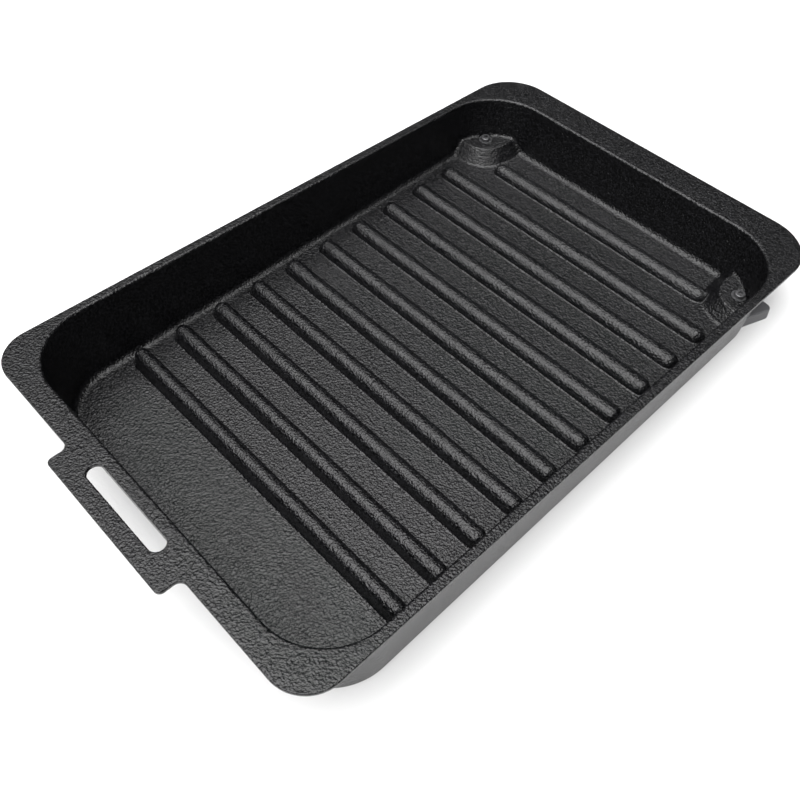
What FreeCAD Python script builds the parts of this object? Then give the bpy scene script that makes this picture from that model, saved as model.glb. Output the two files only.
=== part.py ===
import FreeCAD, Part
import Sketcher
import math
import os

# A cast griddle tray: a deep rectangular pan with a flat rim, a slotted handle tab on the near
# short side, eleven cooking ribs and, inside the two far corners, a boss over a pocket in which a
# short foot swivels on a screw.
# Millimetres. X runs across the tray, Y from the handle to the far end, Z up. The origin is on the
# resting plane, under the middle of the tray's overall length and width.

V = FreeCAD.Vector
doc = FreeCAD.newDocument("griddle_tray")

# ---------------------------------------------------------------- driving dimensions

SIZES = [
    ("overall_length", 482.1, "handle edge to far rim edge"),
    ("rim_width", 290.0, "across the rim"),
    ("tab_depth", 13.6, "handle tab beyond the near rim edge"),
    ("rim_thickness", 3.0, "rim and handle plate"),
    ("rim_height", 53.85, "top of the rim above the resting plane, over the origin"),
    ("rim_tilt", 2.12, "degrees by which the rim rises towards the handle"),
    ("rim_near_corner", 24.0, "rim corner radius at the handle end"),
    ("rim_far_corner", 35.0, "rim corner radius at the far end"),
    ("side_rim", 6.9, "rim width along the long sides"),
    ("near_rim", 15.6, "rim width at the handle end"),
    ("far_rim", 25.5, "rim width at the far end"),
    ("well_near_corner", 41.0, "well corner radius at the handle end"),
    ("well_far_corner", 46.0, "well corner radius at the far end"),
    ("wall_thickness", 3.0, "side walls"),
    ("wall_slope", 0.045, "inward lean of the walls per millimetre of depth"),
    ("floor_thickness", 4.0, "floor of the well"),
    ("far_wall_lean", 0.075, "further inward lean of the far wall per millimetre of depth"),
    ("loft_top", 75.0, "height to which the walls are built before the rim plane trims them"),
    ("floor_fillet", 5.0, "between walls and floor"),
    ("lip_round", 1.8, "rounding of the well's lip"),
    ("tab_half_width", 53.0, "half width of the handle tab"),
    ("tab_corner", 3.6, "outer corners of the tab"),
    ("tab_shoulder", 4.6, "concave fillets where the tab leaves the rim"),
    ("slot_length", 67.3, "finger slot, end to end"),
    ("slot_width", 10.0, "finger slot"),
    ("slot_inset", 15.9, "finger slot centre line from the tab's outer edge"),
    ("rib_count", 11, "cooking ribs"),
    ("rib_start", -146.5, "middle of the rib nearest the handle"),
    ("rib_pitch", 32.42, "between ribs"),
    ("rib_width", 14.0, "at the floor"),
    ("rib_lean", 0.21, "inward lean of a rib's sides per millimetre of height"),
    ("rib_near_reach", 130.0, "half length of the nearest rib"),
    ("rib_far_reach", 126.0, "half length of the tenth rib"),
    ("last_rib_reach", 102.0, "half length of the rib between the bosses"),
    ("last_rib_shift", 2.0, "further step to the rib between the bosses"),
    ("last_rib_offset", 3.0, "middle of that rib to the right of the centre plane"),
    ("rib_near_height", 12.3, "nearest rib"),
    ("rib_far_height", 6.8, "farthest rib"),
    ("rib_fall", 2.5, "power by which the ribs' height falls off towards the far end"),
    ("rib_crest", 0.85, "crest rounding as a share of the half width at the rib's top"),
    ("pivot_x", 122.5, "foot pivot from the centre plane"),
    ("pivot_y", 190.5, "foot pivot from the origin"),
    ("boss_offset", 11.0, "boss centre beyond the pivot, along X and along Y"),
    ("boss_base_radius", 35.0, "boss at the floor"),
    ("boss_top_radius", 30.5, "boss at its top"),
    ("boss_top", 15.4, "height of the boss's top"),
    ("pocket_radius", 29.0, "foot pocket under the boss"),
    ("pocket_height", 9.4, "ceiling of the foot pocket"),
    ("recess_radius", 5.9, "recess for the screw head in the boss's top"),
    ("recess_depth", 1.2, "depth of that recess"),
    ("screw_radius", 2.5, "shank of the pivot screw"),
    ("hole_clearance", 0.08, "radial play of the shank in the boss and in the foot"),
    ("head_radius", 3.9, "pan head of the pivot screw"),
    ("head_height", 2.6, "pan head of the pivot screw"),
    ("head_round", 0.8, "rounding of the pan head"),
    ("socket_flats", 3.0, "hexagon socket in the head, across its flats"),
    ("socket_depth", 1.5, "depth of the hexagon socket"),
    ("screw_bottom", 0.8, "lower end of the screw above the resting plane"),
    ("washer_gap", 0.05, "gap on each face of a washer"),
    ("head_washer_radius", 5.6, "washer under the head"),
    ("head_washer_thickness", 0.8, "washer under the head"),
    ("friction_washer_radius", 7.0, "washer between foot and pocket ceiling"),
    ("nut_washer_radius", 5.0, "washer above the lock nut"),
    ("nut_washer_thickness", 0.8, "washer above the lock nut"),
    ("nut_flats", 8.0, "lock nut across its flats"),
    ("nut_height", 4.0, "lock nut"),
    ("foot_height", 8.6, "top of the foot's hub"),
    ("foot_hub_radius", 10.5, "hub of the foot, around the pivot"),
    ("foot_heel_x", 11.7, "centre of the heel corner outward from the pivot"),
    ("foot_heel_y", -6.8, "centre of the heel corner along the foot's outer side"),
    ("foot_heel_radius", 5.0, "heel corner"),
    ("foot_toe_x", 11.8, "centre of the toe corner outward from the pivot"),
    ("foot_toe_y", 15.8, "centre of the toe corner along the foot's outer side"),
    ("foot_toe_radius", 4.9, "toe corner"),
    ("foot_back_x", 0.0, "centre of the back corner outward from the pivot"),
    ("foot_back_y", 12.0, "centre of the back corner along the foot's outer side"),
    ("foot_back_radius", 6.1, "back corner"),
    ("foot_taper", 6.0, "degrees of draft on the foot's sides"),
    ("foot_angle", -20.0, "direction of the foot's outer side's normal at rest, from X towards Y"),
    ("foot_recess_radius", 5.6, "recess for the lock nut in the foot's underside"),
    ("foot_recess_depth", 6.0, "depth of that recess"),
    ("foot_edge_round", 1.2, "rounding of the foot's top edge"),
    ("base_chamfer", 0.8, "chamfer around the tray's base"),
]

sheet = doc.addObject("Spreadsheet::Sheet", "Sizes")
for row, (alias, value, meaning) in enumerate(SIZES, start=1):
    sheet.set(f"A{row}", alias)
    sheet.set(f"B{row}", str(value))
    sheet.set(f"C{row}", meaning)
    sheet.setAlias(f"B{row}", alias)
doc.recompute()


def size(alias):
    """Value of a driving dimension."""
    return float(getattr(sheet, alias))


def bind(obj, prop, expression):
    """Bind a property to the sheet; a bare alias in the expression is written as $alias."""
    obj.setExpression(prop, expression.replace("$", "Sizes."))


FILLET_STEPS = 4   # straight facets across the fillet between floor and walls
CREST_STEPS = 3    # straight facets across each side of a rib's rounded crest


# ---------------------------------------------------------------- sketch helpers

def new_body(label):
    body = doc.addObject("PartDesign::Body", label)
    body.Label = label
    return body


def plane(body, role="XY_Plane"):
    return [f for f in body.Origin.OriginFeatures if f.Role == role][0]


def new_sketch(body, name, height="0", tilt=None):
    """Sketch parallel to the base at a height, or in the tilted rim plane."""
    sketch = body.newObject("Sketcher::SketchObject", name)
    sketch.AttachmentSupport = [(plane(body), "")]
    sketch.MapMode = "FlatFace"
    bind(sketch, ".AttachmentOffset.Base.z", height)
    if tilt:
        sketch.AttachmentOffset = FreeCAD.Placement(V(0, 0, 1), FreeCAD.Rotation(V(1, 0, 0), -1))
        bind(sketch, ".AttachmentOffset.Rotation.Angle", tilt)
    return sketch


def dimension(sketch, kind, args, expression, name):
    """Add a named dimension whose value follows the sheet."""
    index = sketch.addConstraint(Sketcher.Constraint(kind, *args))
    sketch.renameConstraint(index, name)
    bind(sketch, f"Constraints.{name}", expression)


def smooth_loop(sketch, pieces):
    """Join neighbouring lines and arcs end to start, tangent where either one is an arc."""
    count = len(pieces)
    for i, (index, start, end) in enumerate(pieces):
        following, next_start, _ = pieces[(i + 1) % count]
        sketch.addConstraint(Sketcher.Constraint("Tangent", index, end, following, next_start))


def rounded_rectangle(sketch, half_width, near, far, near_corner, far_corner):
    """Rectangle about the Y axis. Each size is a pair: a number to start from, and its expression."""
    w, n, f = half_width[0], near[0], far[0]
    rn, rf = near_corner[0], far_corner[0]
    quarter = math.pi / 2

    def line(a, b):
        return sketch.addGeometry(Part.LineSegment(V(*a, 0), V(*b, 0)), False)

    def arc(centre, radius, start):
        circle = Part.Circle(V(*centre, 0), V(0, 0, 1), radius)
        return sketch.addGeometry(Part.ArcOfCircle(circle, start, start + quarter), False)

    bottom = line((-w + rn, n), (w - rn, n))
    near_right = arc((w - rn, n + rn), rn, 3 * quarter)
    right = line((w, n + rn), (w, f - rf))
    far_right = arc((w - rf, f - rf), rf, 0)
    top = line((w - rf, f), (-w + rf, f))
    far_left = arc((-w + rf, f - rf), rf, quarter)
    left = line((-w, f - rf), (-w, n + rn))
    near_left = arc((-w + rn, n + rn), rn, 2 * quarter)
    loop = [bottom, near_right, right, far_right, top, far_left, left, near_left]
    smooth_loop(sketch, [(index, 1, 2) for index in loop])
    for index in (bottom, top):
        sketch.addConstraint(Sketcher.Constraint("Horizontal", index))
    for index in (left, right):
        sketch.addConstraint(Sketcher.Constraint("Vertical", index))
    sketch.addConstraint(Sketcher.Constraint("Equal", near_left, near_right))
    sketch.addConstraint(Sketcher.Constraint("Equal", far_left, far_right))
    dimension(sketch, "Radius", (near_right, rn), near_corner[1], "near_corner")
    dimension(sketch, "Radius", (far_right, rf), far_corner[1], "far_corner")
    dimension(sketch, "DistanceX", (-1, 1, right, 1, w), half_width[1], "right_side")
    dimension(sketch, "DistanceX", (left, 1, -1, 1, w), half_width[1], "left_side")
    dimension(sketch, "DistanceY", (bottom, 1, -1, 1, -n), near[1], "near_side")
    dimension(sketch, "DistanceY", (-1, 1, top, 1, f), far[1], "far_side")


def obround(sketch, centre_y, half_length, radius):
    """Slot shape along X about the Y axis; each size is a (number, expression) pair."""
    y, a, r = centre_y[0], half_length[0] - radius[0], radius[0]
    quarter = math.pi / 2
    low = sketch.addGeometry(Part.LineSegment(V(-a, y - r, 0), V(a, y - r, 0)), False)
    right = sketch.addGeometry(
        Part.ArcOfCircle(Part.Circle(V(a, y, 0), V(0, 0, 1), r), -quarter, quarter), False)
    high = sketch.addGeometry(Part.LineSegment(V(a, y + r, 0), V(-a, y + r, 0)), False)
    left = sketch.addGeometry(
        Part.ArcOfCircle(Part.Circle(V(-a, y, 0), V(0, 0, 1), r), quarter, 3 * quarter), False)
    smooth_loop(sketch, [(index, 1, 2) for index in (low, right, high, left)])
    sketch.addConstraint(Sketcher.Constraint("Horizontal", low))
    dimension(sketch, "Radius", (right, r), radius[1], "end_radius")
    straight = f"{half_length[1]} - ({radius[1]})"
    dimension(sketch, "DistanceX", (-1, 1, right, 3, a), straight, "right_centre")
    dimension(sketch, "DistanceX", (left, 3, -1, 1, a), straight, "left_centre")
    if y < 0:
        dimension(sketch, "DistanceY", (right, 3, -1, 1, -y), f"-({centre_y[1]})", "middle")
    else:
        dimension(sketch, "DistanceY", (-1, 1, right, 3, y), centre_y[1], "middle")


# ---------------------------------------------------------------- tray: outside

def wall_outline(sketch, height, inset, outside):
    """Well or outer wall outline at a height, drawn further in by the inset.

    The walls lean in as they go down. Height and inset are (number, expression) pairs."""
    skin = size("wall_thickness") if outside else 0.0
    skin_expression = "$wall_thickness" if outside else "0"
    lean = size("wall_slope") * (size("rim_height") - height[0]) - skin + inset[0]
    lean_expression = (f"($wall_slope * ($rim_height - ({height[1]})) - {skin_expression}"
                       f" + ({inset[1]}))")
    half_length = size("overall_length") / 2
    near = half_length - size("tab_depth") - size("near_rim") - lean
    far_lean = size("far_wall_lean") * (size("rim_height") - height[0])
    far = half_length - size("far_rim") - lean - far_lean
    rounded_rectangle(
        sketch,
        (size("rim_width") / 2 - size("side_rim") - lean,
         f"$rim_width / 2 - $side_rim - {lean_expression}"),
        (-near, f"$overall_length / 2 - $tab_depth - $near_rim - {lean_expression}"),
        (far, f"$overall_length / 2 - $far_rim - {lean_expression}"
              f" - $far_wall_lean * ($rim_height - ({height[1]}))"),
        (size("well_near_corner") - lean, f"$well_near_corner - {lean_expression}"),
        (size("well_far_corner") - lean, f"$well_far_corner - {lean_expression}"))


def loft(body, kind, name, sketches):
    """Straight-sided loft through sketches, made the tip of the body."""
    feature = body.newObject(kind, name)
    feature.Profile = sketches[0]
    feature.Sections = sketches[1:]
    feature.Ruled = True
    body.Tip = feature
    doc.recompute()
    return feature


def wall_loft(body, levels, outside):
    """Loft the walls through (height, inset) levels and on up to loft_top."""
    top = ((size("loft_top"), "$loft_top"), (0.0, "0"))
    sketches = []
    for i, (height, inset) in enumerate(levels + [top]):
        sketch = new_sketch(body, f"{body.Label}_level_{i}", height[1])
        wall_outline(sketch, height, inset, outside)
        sketches.append(sketch)
    loft(body, "PartDesign::AdditiveLoft", f"{body.Label}_walls", sketches)


def rim_outline(sketch):
    """Rim with its handle tab, and the finger slot in the tab."""
    half = size("overall_length") / 2
    w = size("rim_width") / 2
    near = -half + size("tab_depth")
    rn, rf = size("rim_near_corner"), size("rim_far_corner")
    tab, rc, rs = size("tab_half_width"), size("tab_corner"), size("tab_shoulder")
    quarter = math.pi / 2
    pieces = []

    def line(a, b):
        index = sketch.addGeometry(Part.LineSegment(V(*a, 0), V(*b, 0)), False)
        pieces.append((index, 1, 2))
        return index

    def arc(centre, radius, start, clockwise=False):
        circle = Part.Circle(V(*centre, 0), V(0, 0, 1), radius)
        index = sketch.addGeometry(Part.ArcOfCircle(circle, start, start + quarter), False)
        pieces.append((index, 2, 1) if clockwise else (index, 1, 2))
        return index

    tab_edge = line((-tab + rc, -half), (tab - rc, -half))
    corner_right = arc((tab - rc, -half + rc), rc, 3 * quarter)
    side_right = line((tab, -half + rc), (tab, near - rs))
    shoulder_right = arc((tab + rs, near - rs), rs, quarter, clockwise=True)
    near_right = line((tab + rs, near), (w - rn, near))
    rim_near_right = arc((w - rn, near + rn), rn, 3 * quarter)
    right = line((w, near + rn), (w, half - rf))
    rim_far_right = arc((w - rf, half - rf), rf, 0)
    far = line((w - rf, half), (-w + rf, half))
    rim_far_left = arc((-w + rf, half - rf), rf, quarter)
    left = line((-w, half - rf), (-w, near + rn))
    rim_near_left = arc((-w + rn, near + rn), rn, 2 * quarter)
    near_left = line((-w + rn, near), (-tab - rs, near))
    shoulder_left = arc((-tab - rs, near - rs), rs, 0, clockwise=True)
    side_left = line((-tab, near - rs), (-tab, -half + rc))
    corner_left = arc((-tab + rc, -half + rc), rc, 2 * quarter)
    smooth_loop(sketch, pieces)

    for index in (tab_edge, near_right, near_left, far):
        sketch.addConstraint(Sketcher.Constraint("Horizontal", index))
    for index in (left, right, side_left, side_right):
        sketch.addConstraint(Sketcher.Constraint("Vertical", index))
    for index in (corner_left, corner_right):
        dimension(sketch, "Radius", (index, rc), "$tab_corner", f"tab_corner_{index}")
    for index in (shoulder_left, shoulder_right):
        dimension(sketch, "Radius", (index, rs), "$tab_shoulder", f"tab_shoulder_{index}")
    for index in (rim_near_left, rim_near_right):
        dimension(sketch, "Radius", (index, rn), "$rim_near_corner", f"near_corner_{index}")
    for index in (rim_far_left, rim_far_right):
        dimension(sketch, "Radius", (index, rf), "$rim_far_corner", f"far_corner_{index}")
    dimension(sketch, "DistanceX", (-1, 1, right, 1, w), "$rim_width / 2", "right_side")
    dimension(sketch, "DistanceX", (left, 1, -1, 1, w), "$rim_width / 2", "left_side")
    dimension(sketch, "DistanceX", (-1, 1, side_right, 1, tab), "$tab_half_width", "tab_right")
    dimension(sketch, "DistanceX", (side_left, 1, -1, 1, tab), "$tab_half_width", "tab_left")
    dimension(sketch, "DistanceY", (-1, 1, far, 1, half), "$overall_length / 2", "far_edge")
    dimension(sketch, "DistanceY", (tab_edge, 1, -1, 1, half), "$overall_length / 2", "tab_edge")
    near_expression = "$overall_length / 2 - $tab_depth"
    dimension(sketch, "DistanceY", (near_right, 1, -1, 1, -near), near_expression, "near_edge")
    dimension(sketch, "DistanceY", (near_left, 1, -1, 1, -near), near_expression, "near_edge_left")
    obround(sketch,
            (-half + size("slot_inset"), "-$overall_length / 2 + $slot_inset"),
            (size("slot_length") / 2, "$slot_length / 2"),
            (size("slot_width") / 2, "$slot_width / 2"))


def make_outside():
    """Drafted outer walls, trimmed by the tilted rim plane, with the rim plate added."""
    body = new_body("tray_outside")
    chamfer = (size("base_chamfer"), "$base_chamfer")
    wall_loft(body, [((0.0, "0"), chamfer), (chamfer, (0.0, "0"))], outside=True)

    trim_sketch = new_sketch(body, "rim_trim", "$rim_height", tilt="-$rim_tilt")
    reach = size("overall_length")
    corners = [V(-reach, -reach, 0), V(reach, -reach, 0), V(reach, reach, 0), V(-reach, reach, 0)]
    for i in range(4):
        trim_sketch.addGeometry(Part.LineSegment(corners[i], corners[(i + 1) % 4]), False)
    for i in range(4):
        trim_sketch.addConstraint(Sketcher.Constraint("Coincident", i, 2, (i + 1) % 4, 1))
    before = body.Shape.Volume
    trim = body.newObject("PartDesign::Pocket", "trim_to_rim_plane")
    trim.Profile = trim_sketch
    trim.Type = "ThroughAll"
    trim.Reversed = True
    body.Tip = trim
    doc.recompute()
    assert body.Shape.Volume < before * 0.95

    rim_sketch = new_sketch(body, "rim_outline", "$rim_height", tilt="-$rim_tilt")
    rim_outline(rim_sketch)
    rim = body.newObject("PartDesign::Pad", "rim_plate")
    rim.Profile = rim_sketch
    rim.Reversed = True
    bind(rim, "Length", "$rim_thickness")
    body.Tip = rim
    doc.recompute()
    return body


# ---------------------------------------------------------------- tray: well

def edges_where(shape, test):
    return [f"Edge{i + 1}" for i, edge in enumerate(shape.Edges) if test(edge)]


def fillet(body, name, base, edges, radius):
    feature = body.newObject("PartDesign::Fillet", name)
    feature.Base = (base, edges)
    bind(feature, "Radius", radius)
    body.Tip = feature
    doc.recompute()
    return feature


def make_well():
    """The empty space of the well: the ribs and bosses are cut out of it."""
    body = new_body("tray_well")
    radius, floor = size("floor_fillet"), size("floor_thickness")
    levels = []
    for step in range(FILLET_STEPS + 1):
        angle = math.pi / 2 * step / FILLET_STEPS
        rise, run = 1 - math.cos(angle), 1 - math.sin(angle)
        levels.append(((floor + radius * rise, f"$floor_thickness + $floor_fillet * {rise:.6f}"),
                       (radius * run, f"$floor_fillet * {run:.6f}")))
    wall_loft(body, levels, outside=False)

    for side, sign in (("left", -1), ("right", 1)):
        boss = body.newObject("PartDesign::SubtractiveCone", f"{side}_boss")
        boss.AttachmentSupport = [(plane(body), "")]
        boss.MapMode = "FlatFace"
        bind(boss, ".AttachmentOffset.Base.x", f"{sign} * ($pivot_x + $boss_offset)")
        bind(boss, ".AttachmentOffset.Base.y", "$pivot_y + $boss_offset")
        bind(boss, "Radius1", "$boss_base_radius + ($boss_base_radius - $boss_top_radius)"
                              " * $floor_thickness / ($boss_top - $floor_thickness)")
        bind(boss, "Radius2", "$boss_top_radius")
        bind(boss, "Height", "$boss_top")
        body.Tip = boss
        doc.recompute()

    for i in range(int(size("rib_count"))):
        cut_rib(body, i)
    return body


def cut_rib(body, i):
    """One rib: leaning sides, rounded crest and ends. Ribs get lower towards the far end."""
    last = int(size("rib_count")) - 1
    centre = (size("rib_start") + i * size("rib_pitch"), f"$rib_start + {i} * $rib_pitch")
    if i == last:
        centre = (centre[0] + size("last_rib_shift"), centre[1] + " + $last_rib_shift")
    share = round((1 - i / last) ** size("rib_fall"), 6)
    height = size("rib_far_height") + (size("rib_near_height") - size("rib_far_height")) * share
    height_expression = ("($rib_far_height + ($rib_near_height - $rib_far_height)"
                         f" * {1 - i / last:.6f} ^ $rib_fall)")
    if i == last:
        reach = (size("last_rib_reach"), "$last_rib_reach")
    else:
        shorter = size("rib_near_reach") - size("rib_far_reach")
        reach = (size("rib_near_reach") - shorter * i / (last - 1),
                 f"($rib_near_reach - ($rib_near_reach - $rib_far_reach) * {i} / {last - 1})")

    # Levels up the rib's side: its foot, then an arc from shoulder to crest.
    levels = [(0.0, "0", 0.0, "0")]
    lean = size("rib_lean")
    radius = size("rib_crest") * (size("rib_width") / 2 - lean * height)
    radius_expression = f"($rib_crest * ($rib_width / 2 - $rib_lean * {height_expression}))"
    for step in range(CREST_STEPS + 1):
        angle = math.pi / 2 * step / CREST_STEPS
        up, inward = 1 - math.sin(angle), 1 - math.cos(angle)
        level = height - radius * up
        level_expression = f"({height_expression} - {radius_expression} * {up:.6f})"
        levels.append((level, level_expression, lean * level + radius * inward,
                       f"($rib_lean * {level_expression} + {radius_expression} * {inward:.6f})"))
    sketches = []
    for number, (level, level_expression, inset, inset_expression) in enumerate(levels):
        sketch = new_sketch(body, f"rib_{i + 1}_level_{number}",
                            f"$floor_thickness + {level_expression}")
        if i == last:
            bind(sketch, ".AttachmentOffset.Base.x", "$last_rib_offset")
        obround(sketch, centre,
                (reach[0] - inset, f"({reach[1]} - {inset_expression})"),
                (size("rib_width") / 2 - inset, f"($rib_width / 2 - {inset_expression})"))
        sketches.append(sketch)
    before = body.Shape.Volume
    loft(body, "PartDesign::SubtractiveLoft", f"rib_{i + 1}", sketches)
    assert body.Shape.Volume < before - 100


# ---------------------------------------------------------------- tray: whole

def cylinder(name, radius, height, x, y, z):
    """Cylinder on the vertical through (x, y), its base at z; every size is an expression."""
    obj = doc.addObject("Part::Cylinder", name)
    bind(obj, "Radius", radius)
    bind(obj, "Height", height)
    bind(obj, ".Placement.Base.x", x)
    bind(obj, ".Placement.Base.y", y)
    bind(obj, ".Placement.Base.z", z)
    return obj


def pivot_x(sign):
    return f"{sign} * $pivot_x"


def make_tray():
    outside, well = make_outside(), make_well()
    tools = [well]
    for side, sign in (("left", -1), ("right", 1)):
        tools.append(cylinder(
            f"{side}_pocket", "$pocket_radius", "$pocket_height + 1",
            f"{sign} * ($pivot_x + $boss_offset)", "$pivot_y + $boss_offset", "-1"))
        tools.append(cylinder(
            f"{side}_pivot_hole", "$screw_radius + $hole_clearance", "$boss_top",
            pivot_x(sign), "$pivot_y", "1"))
        tools.append(cylinder(
            f"{side}_head_recess", "$recess_radius", "$recess_depth + 1",
            pivot_x(sign), "$pivot_y", "$boss_top - $recess_depth"))
    removed = doc.addObject("Part::MultiFuse", "tray_hollows")
    removed.Shapes = tools
    tray = doc.addObject("Part::Cut", "tray_cast")
    tray.Base = outside
    tray.Tool = removed
    doc.recompute()

    # The lip is where the well meets the tilted top of the rim.
    tilt = math.radians(size("rim_tilt"))
    normal = V(0, math.sin(tilt), math.cos(tilt))
    level = size("rim_height") * math.cos(tilt)
    half_well = size("rim_width") / 2 - size("side_rim") + 2
    near_well = -size("overall_length") / 2 + size("tab_depth") + size("near_rim") - 2
    lip = []
    for i, edge in enumerate(tray.Shape.Edges):
        box = edge.BoundBox
        in_plane = all(abs(v.Point.dot(normal) - level) < 0.01 for v in edge.Vertexes)
        inside = abs(box.XMin) < half_well and abs(box.XMax) < half_well and box.YMin > near_well
        far_edge = box.YMax > size("overall_length") / 2 - size("far_rim") + 2
        if in_plane and inside and not far_edge:
            lip.append((i + 1, size("lip_round"), size("lip_round")))
    rounded = doc.addObject("Part::Fillet", "tray")
    rounded.Base = tray
    rounded.Edges = lip
    rounded.Label = "tray"
    doc.recompute()
    return rounded


# ---------------------------------------------------------------- feet and fasteners

def external_tangent(first, second):
    """Ends of the line that touches two circles on the right of the way between their centres."""
    (x1, y1, r1), (x2, y2, r2) = first, second
    distance = math.hypot(x2 - x1, y2 - y1)
    angle = math.atan2(y2 - y1, x2 - x1) - math.pi / 2 + math.asin((r2 - r1) / distance)
    return [V(x + r * math.cos(angle), y + r * math.sin(angle), 0) for x, y, r in (first, second)]


def make_foot(side, sign):
    """Swivel foot: a drafted block with a hub around the pivot and three rounded corners."""
    body = new_body(f"{side}_swivel_foot")
    sketch = new_sketch(body, f"{side}_foot_outline", "0")
    lobes = [("hub", 0.0, 0.0), ("heel", "foot_heel_x", "foot_heel_y"),
             ("toe", "foot_toe_x", "foot_toe_y"), ("back", "foot_back_x", "foot_back_y")]
    if sign < 0:
        lobes = [lobes[0]] + lobes[:0:-1]
    circles = []
    for name, x, y in lobes:
        place = (0.0, 0.0) if name == "hub" else (size(x), sign * size(y))
        circles.append((*place, size(f"foot_{name}_radius")))
    count = len(circles)
    sides = [external_tangent(circles[i], circles[(i + 1) % count]) for i in range(count)]
    loop = []
    for i, (x, y, radius) in enumerate(circles):
        start, end = sides[i - 1][1], sides[i][0]
        angles = [math.atan2(p.y - y, p.x - x) for p in (start, end)]
        if angles[1] < angles[0]:
            angles[1] += 2 * math.pi
        circle = Part.Circle(V(x, y, 0), V(0, 0, 1), radius)
        arc = sketch.addGeometry(Part.ArcOfCircle(circle, *angles), False)
        line = sketch.addGeometry(Part.LineSegment(*sides[i]), False)
        loop += [(arc, 1, 2), (line, 1, 2)]
    smooth_loop(sketch, loop)
    sketch.addConstraint(Sketcher.Constraint("Coincident", loop[0][0], 3, -1, 1))
    for i, (name, x, y) in enumerate(lobes):
        arc, (cx, cy, radius) = loop[2 * i][0], circles[i]
        dimension(sketch, "Radius", (arc, radius), f"$foot_{name}_radius", f"{name}_radius")
        if name != "hub":
            dimension(sketch, "DistanceX", (-1, 1, arc, 3, cx), f"${x}", f"{name}_x")
            ends = (-1, 1, arc, 3) if cy > 0 else (arc, 3, -1, 1)
            sense = "" if size(y) > 0 else "-"
            dimension(sketch, "DistanceY", (*ends, abs(cy)), f"{sense}${y}", f"{name}_y")
    pad = body.newObject("PartDesign::Pad", f"{side}_foot_block")
    pad.Profile = sketch
    bind(pad, "Length", "$foot_height")
    bind(pad, "TaperAngle", "-$foot_taper")
    body.Tip = pad
    doc.recompute()

    top = size("foot_height")
    rim = edges_where(body.Shape, lambda e: e.BoundBox.ZMin > top - 0.01)
    fillet(body, f"{side}_foot_top_round", pad, rim, "$foot_edge_round")

    for name, radius, height in (("nut_recess", "$foot_recess_radius", "$foot_recess_depth"),
                                 ("bore", "$screw_radius + $hole_clearance", "$foot_height + 1")):
        hole = body.newObject("PartDesign::SubtractiveCylinder", f"{side}_foot_{name}")
        hole.AttachmentSupport = [(plane(body), "")]
        hole.MapMode = "FlatFace"
        bind(hole, "Radius", radius)
        bind(hole, "Height", height)
        body.Tip = hole
        doc.recompute()

    bind(body, ".Placement.Base.x", pivot_x(sign))
    bind(body, ".Placement.Base.y", "$pivot_y")
    body.Placement.Rotation = FreeCAD.Rotation(V(0, 0, 1), 180)
    bind(body, ".Placement.Rotation.Angle",
         "360 + $foot_angle" if sign > 0 else "180 - $foot_angle")
    return body


def hexagonal(name, flats, height, x, y, z):
    """Upright hexagonal prism; flats is the expression of its width across the flats."""
    prism = doc.addObject("Part::Prism", name)
    prism.Polygon = 6
    bind(prism, "Circumradius", f"{flats} / sqrt(3)")
    bind(prism, "Height", height)
    bind(prism, ".Placement.Base.x", x)
    bind(prism, ".Placement.Base.y", y)
    bind(prism, ".Placement.Base.z", z)
    return prism


def cut(label, base, tool):
    obj = doc.addObject("Part::Cut", label)
    obj.Base = base
    obj.Tool = tool
    obj.Label = label
    return obj


# Heights of the pivot stack, from the boss's recess downwards.
HEAD_WASHER_TOP = "($boss_top - $recess_depth + $head_washer_thickness)"
FOOT_CEILING = "$foot_recess_depth"
NUT_WASHER_BOTTOM = f"({FOOT_CEILING} - $washer_gap - $nut_washer_thickness)"
NUT_BOTTOM = f"({NUT_WASHER_BOTTOM} - $nut_height)"


def make_screw(side, sign):
    x, y = pivot_x(sign), "$pivot_y"
    shank = cylinder(f"{side}_shank", "$screw_radius", f"{HEAD_WASHER_TOP} - $screw_bottom + 1",
                     x, y, "$screw_bottom")
    head = cylinder(f"{side}_head", "$head_radius", "$head_height", x, y, HEAD_WASHER_TOP)
    blank = doc.addObject("Part::Fuse", f"{side}_screw_blank")
    blank.Base = shank
    blank.Tool = head
    doc.recompute()
    crown = size("boss_top") - size("recess_depth") + size("head_washer_thickness")
    crown += size("head_height")
    rounded = doc.addObject("Part::Fillet", f"{side}_screw_round")
    rounded.Base = blank
    radius = size("head_round")
    rounded.Edges = [(i + 1, radius, radius) for i, edge in enumerate(blank.Shape.Edges)
                     if edge.BoundBox.ZMin > crown - 0.01]
    doc.recompute()
    socket = hexagonal(f"{side}_socket", "$socket_flats", "$socket_depth + 1", x, y,
                       f"{HEAD_WASHER_TOP} + $head_height - $socket_depth")
    return cut(f"{side}_pivot_screw", rounded, socket)


def make_washer(label, sign, radius, thickness, bottom):
    x, y = pivot_x(sign), "$pivot_y"
    disc = cylinder(f"{label}_disc", radius, thickness, x, y, bottom)
    hole = cylinder(f"{label}_hole", "$screw_radius + $hole_clearance", thickness + " + 2",
                    x, y, bottom + " - 1")
    return cut(label, disc, hole)


def make_nut(side, sign):
    x, y = pivot_x(sign), "$pivot_y"
    block = hexagonal(f"{side}_nut_block", "$nut_flats", "$nut_height", x, y, NUT_BOTTOM)
    hole = cylinder(f"{side}_nut_hole", "$screw_radius", "$nut_height + 2", x, y,
                    f"{NUT_BOTTOM} - 1")
    return cut(f"{side}_lock_nut", block, hole)


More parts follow.
